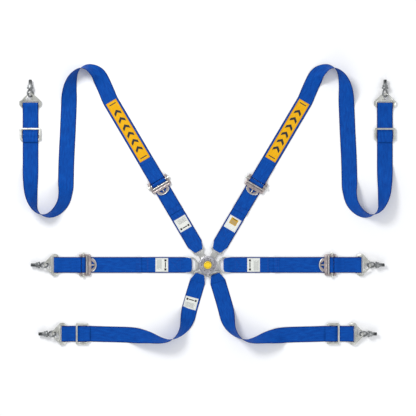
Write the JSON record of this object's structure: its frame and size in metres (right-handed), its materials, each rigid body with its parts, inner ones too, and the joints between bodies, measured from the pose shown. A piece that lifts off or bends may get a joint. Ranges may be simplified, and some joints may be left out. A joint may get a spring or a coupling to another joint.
{
  "type": "racing harness",
  "caption": "Racing harness with a round rotary buckle, blue webbing belts, lift-tab adjusters, three-bar slides, snap hooks and eyebolts, laid out flat.",
  "frame": {"origin": "centre of the buckle's back face, on the surface it lies on", "axes": "+X towards the wearer's left, +Y towards the shoulder belts, +Z out of the buckle's front"},
  "size_m": [1.2034, 0.8958, 0.0507],
  "materials": {
    "webbing": "royal blue woven polyester webbing with darker selvedges",
    "forged_steel": "dull grey forged and plated steel",
    "zinc_plate": "bright zinc plate, faintly warm",
    "adjuster_metal": "bright pressed steel, faintly pink",
    "tongue_metal": "satin stamped steel",
    "patch_yellow": "golden woven patch with black bars",
    "label_white": "white woven label with grey lines",
    "cap_yellow": "yellow enamel dome",
    "buckle_metal": "satin alloy",
    "inner_steel": "plain machined steel"
  },
  "bodies": {
    "buckle": {"buckle_base_plate": "buckle_metal", "buckle_housing": "buckle_metal", "return_spring": "inner_steel", "tongue_lap_left": "tongue_metal", "lap_belt_left": "webbing", "lap_label_left": "label_white"},
    "knob": {"release_knob": "buckle_metal", "knob_cap": "cap_yellow", "release_cam": "inner_steel"},
    "latches": {"latch_pawls": "inner_steel"},
    "shoulder_belt_left": {"tongue_shoulder_left": "tongue_metal", "shoulder_belt_left": "webbing", "shoulder_label_left": "label_white"},
    "shoulder_strap_left": {"shoulder_strap_left": "webbing", "shoulder_patch_left": "patch_yellow", "slide_shoulder_left": "zinc_plate"},
    "adjuster_shoulder_left": {"adjuster_frame_shoulder_left": "adjuster_metal", "grip_bar_shoulder_left": "forged_steel"},
    "hook_shoulder_left": {"snap_hook_shoulder_left": "zinc_plate"},
    "gate_shoulder_left": {"hook_gate_shoulder_left": "zinc_plate"},
    "eyebolt_shoulder_left": {"eyebolt_shoulder_left": "forged_steel"},
    "lap_strap_left": {"lap_strap_left": "webbing"},
    "adjuster_lap_left": {"adjuster_frame_lap_left": "adjuster_metal", "grip_bar_lap_left": "forged_steel"},
    "hook_lap_left": {"snap_hook_lap_left": "zinc_plate"},
    "gate_lap_left": {"hook_gate_lap_left": "zinc_plate"},
    "eyebolt_lap_left": {"eyebolt_lap_left": "forged_steel"},
    "crotch_belt_left": {"tongue_crotch_left": "tongue_metal", "crotch_strap_left": "webbing", "slide_crotch_left": "zinc_plate", "crotch_label_left": "label_white"},
    "hook_crotch_left": {"snap_hook_crotch_left": "zinc_plate"},
    "gate_crotch_left": {"hook_gate_crotch_left": "zinc_plate"},
    "eyebolt_crotch_left": {"eyebolt_crotch_left": "forged_steel"},
    "shoulder_belt_right": {"tongue_shoulder_right": "tongue_metal", "shoulder_belt_right": "webbing", "shoulder_label_right": "label_white"},
    "shoulder_strap_right": {"shoulder_strap_right": "webbing", "shoulder_patch_right": "patch_yellow", "slide_shoulder_right": "zinc_plate"},
    "adjuster_shoulder_right": {"adjuster_frame_shoulder_right": "adjuster_metal", "grip_bar_shoulder_right": "forged_steel"},
    "hook_shoulder_right": {"snap_hook_shoulder_right": "zinc_plate"},
    "gate_shoulder_right": {"hook_gate_shoulder_right": "zinc_plate"},
    "eyebolt_shoulder_right": {"eyebolt_shoulder_right": "forged_steel"},
    "lap_belt_right": {"tongue_lap_right": "tongue_metal", "lap_belt_right": "webbing", "lap_label_right": "label_white"},
    "lap_strap_right": {"lap_strap_right": "webbing"},
    "adjuster_lap_right": {"adjuster_frame_lap_right": "adjuster_metal", "grip_bar_lap_right": "forged_steel"},
    "hook_lap_right": {"snap_hook_lap_right": "zinc_plate"},
    "gate_lap_right": {"hook_gate_lap_right": "zinc_plate"},
    "eyebolt_lap_right": {"eyebolt_lap_right": "forged_steel"},
    "crotch_belt_right": {"tongue_crotch_right": "tongue_metal", "crotch_strap_right": "webbing", "slide_crotch_right": "zinc_plate"},
    "hook_crotch_right": {"snap_hook_crotch_right": "zinc_plate"},
    "gate_crotch_right": {"hook_gate_crotch_right": "zinc_plate"},
    "eyebolt_crotch_right": {"eyebolt_crotch_right": "forged_steel"}
  },
  "joints": [
    {"name": "knob_turn", "type": "hinge", "parent": "buckle", "child": "knob", "pos_m": [0, 0, 0.02], "axis": [0, 0, -1], "range_deg": [0, 35], "stiffness_Nm_per_rad": 0.05},
    {"name": "latch_lift", "type": "slide", "parent": "buckle", "child": "latches", "axis": [0, 0, 1], "range_m": [0, 0.00125]},
    {"name": "adjust_shoulder_left", "type": "slide", "parent": "shoulder_belt_left", "child": "shoulder_strap_left", "axis": [-0.5075, 0.8616, 0], "range_m": [0, 0.03]},
    {"name": "adjuster_tilt_shoulder_left", "type": "hinge", "parent": "shoulder_strap_left", "child": "adjuster_shoulder_left", "pos_m": [-0.1622, 0.27213, 0.0042], "axis": [-0.8616, -0.5075, 0], "range_deg": [0, 30]},
    {"name": "tongue_release_shoulder_left", "type": "slide", "parent": "buckle", "child": "shoulder_belt_left", "axis": [-0.5315, 0.847, 0], "range_m": [0, 0.032]},
    {"name": "hook_swing_shoulder_left", "type": "hinge", "parent": "shoulder_strap_left", "child": "hook_shoulder_left", "pos_m": [-0.5667, 0.5139, 0.0048], "axis": [1, 0, 0], "range_deg": [0, 60]},
    {"name": "gate_shoulder_left", "type": "hinge", "parent": "hook_shoulder_left", "child": "gate_shoulder_left", "pos_m": [-0.5887, 0.5257, 0.00699], "axis": [0, 0.1822, -0.9833], "range_deg": [0, 12], "stiffness_Nm_per_rad": 0.05, "springref_deg": -5.73},
    {"name": "eyebolt_swing_shoulder_left", "type": "hinge", "parent": "hook_shoulder_left", "child": "eyebolt_shoulder_left", "pos_m": [-0.5667, 0.53848, 0.00936], "axis": [0, -0.1822, 0.9833], "range_deg": [-20, 20]},
    {"name": "adjust_lap_left", "type": "slide", "parent": "buckle", "child": "lap_strap_left", "axis": [-1, 0, 0], "range_m": [0, 0.03]},
    {"name": "adjuster_tilt_lap_left", "type": "hinge", "parent": "lap_strap_left", "child": "adjuster_lap_left", "pos_m": [-0.4079, 0, 0.0042], "axis": [0, -1, 0], "range_deg": [0, 30]},
    {"name": "hook_swing_lap_left", "type": "hinge", "parent": "lap_strap_left", "child": "hook_lap_left", "pos_m": [-0.487, 0, 0.0048], "axis": [0, 1, 0], "range_deg": [0, 60]},
    {"name": "gate_lap_left", "type": "hinge", "parent": "hook_lap_left", "child": "gate_lap_left", "pos_m": [-0.4988, -0.022, 0.00699], "axis": [-0.1822, 0, -0.9833], "range_deg": [0, 12], "stiffness_Nm_per_rad": 0.05, "springref_deg": -5.73},
    {"name": "eyebolt_swing_lap_left", "type": "hinge", "parent": "hook_lap_left", "child": "eyebolt_lap_left", "pos_m": [-0.51158, 0, 0.00936], "axis": [0.1822, 0, 0.9833], "range_deg": [-20, 20]},
    {"name": "tongue_release_crotch_left", "type": "slide", "parent": "buckle", "child": "crotch_belt_left", "axis": [-0.6048, -0.7963, 0], "range_m": [0, 0.032]},
    {"name": "hook_swing_crotch_left", "type": "hinge", "parent": "crotch_belt_left", "child": "hook_crotch_left", "pos_m": [-0.4624, -0.2202, 0.0048], "axis": [0, 1, 0], "range_deg": [0, 60]},
    {"name": "gate_crotch_left", "type": "hinge", "parent": "hook_crotch_left", "child": "gate_crotch_left", "pos_m": [-0.4742, -0.2422, 0.00699], "axis": [-0.1822, 0, -0.9833], "range_deg": [0, 12], "stiffness_Nm_per_rad": 0.05, "springref_deg": -5.73},
    {"name": "eyebolt_swing_crotch_left", "type": "hinge", "parent": "hook_crotch_left", "child": "eyebolt_crotch_left", "pos_m": [-0.48698, -0.2202, 0.00936], "axis": [0.1822, 0, 0.9833], "range_deg": [-20, 20]},
    {"name": "adjust_shoulder_right", "type": "slide", "parent": "shoulder_belt_right", "child": "shoulder_strap_right", "axis": [0.5075, 0.8616, 0], "range_m": [0, 0.03]},
    {"name": "adjuster_tilt_shoulder_right", "type": "hinge", "parent": "shoulder_strap_right", "child": "adjuster_shoulder_right", "pos_m": [0.1622, 0.27213, 0.0042], "axis": [-0.8616, 0.5075, 0], "range_deg": [0, 30]},
    {"name": "tongue_release_shoulder_right", "type": "slide", "parent": "buckle", "child": "shoulder_belt_right", "axis": [0.5315, 0.847, 0], "range_m": [0, 0.032]},
    {"name": "hook_swing_shoulder_right", "type": "hinge", "parent": "shoulder_strap_right", "child": "hook_shoulder_right", "pos_m": [0.5667, 0.5139, 0.0048], "axis": [1, 0, 0], "range_deg": [0, 60]},
    {"name": "gate_shoulder_right", "type": "hinge", "parent": "hook_shoulder_right", "child": "gate_shoulder_right", "pos_m": [0.5887, 0.5257, 0.00699], "axis": [0, -0.1822, 0.9833], "range_deg": [0, 12], "stiffness_Nm_per_rad": 0.05, "springref_deg": -5.73},
    {"name": "eyebolt_swing_shoulder_right", "type": "hinge", "parent": "hook_shoulder_right", "child": "eyebolt_shoulder_right", "pos_m": [0.5667, 0.53848, 0.00936], "axis": [0, -0.1822, 0.9833], "range_deg": [-20, 20]},
    {"name": "adjust_lap_right", "type": "slide", "parent": "lap_belt_right", "child": "lap_strap_right", "axis": [1, 0, 0], "range_m": [0, 0.03]},
    {"name": "adjuster_tilt_lap_right", "type": "hinge", "parent": "lap_strap_right", "child": "adjuster_lap_right", "pos_m": [0.4079, 0, 0.0042], "axis": [0, 1, 0], "range_deg": [0, 30]},
    {"name": "tongue_release_lap_right", "type": "slide", "parent": "buckle", "child": "lap_belt_right", "axis": [1, 0, 0], "range_m": [0, 0.032]},
    {"name": "hook_swing_lap_right", "type": "hinge", "parent": "lap_strap_right", "child": "hook_lap_right", "pos_m": [0.487, 0, 0.0048], "axis": [0, -1, 0], "range_deg": [0, 60]},
    {"name": "gate_lap_right", "type": "hinge", "parent": "hook_lap_right", "child": "gate_lap_right", "pos_m": [0.4988, -0.022, 0.00699], "axis": [-0.1822, 0, 0.9833], "range_deg": [0, 12], "stiffness_Nm_per_rad": 0.05, "springref_deg": -5.73},
    {"name": "eyebolt_swing_lap_right", "type": "hinge", "parent": "hook_lap_right", "child": "eyebolt_lap_right", "pos_m": [0.51158, 0, 0.00936], "axis": [-0.1822, 0, 0.9833], "range_deg": [-20, 20]},
    {"name": "tongue_release_crotch_right", "type": "slide", "parent": "buckle", "child": "crotch_belt_right", "axis": [0.6048, -0.7963, 0], "range_m": [0, 0.032]},
    {"name": "hook_swing_crotch_right", "type": "hinge", "parent": "crotch_belt_right", "child": "hook_crotch_right", "pos_m": [0.4624, -0.2202, 0.0048], "axis": [0, -1, 0], "range_deg": [0, 60]},
    {"name": "gate_crotch_right", "type": "hinge", "parent": "hook_crotch_right", "child": "gate_crotch_right", "pos_m": [0.4742, -0.1982, 0.00699], "axis": [0.1822, 0, -0.9833], "range_deg": [0, 12], "stiffness_Nm_per_rad": 0.05, "springref_deg": -5.73},
    {"name": "eyebolt_swing_crotch_right", "type": "hinge", "parent": "hook_crotch_right", "child": "eyebolt_crotch_right", "pos_m": [0.48698, -0.2202, 0.00936], "axis": [-0.1822, 0, 0.9833], "range_deg": [-20, 20]}
  ],
  "couplings": [
    {"joint": "latch_lift", "follows": "knob_turn", "m_per_rad": 0.0019644}
  ]
}
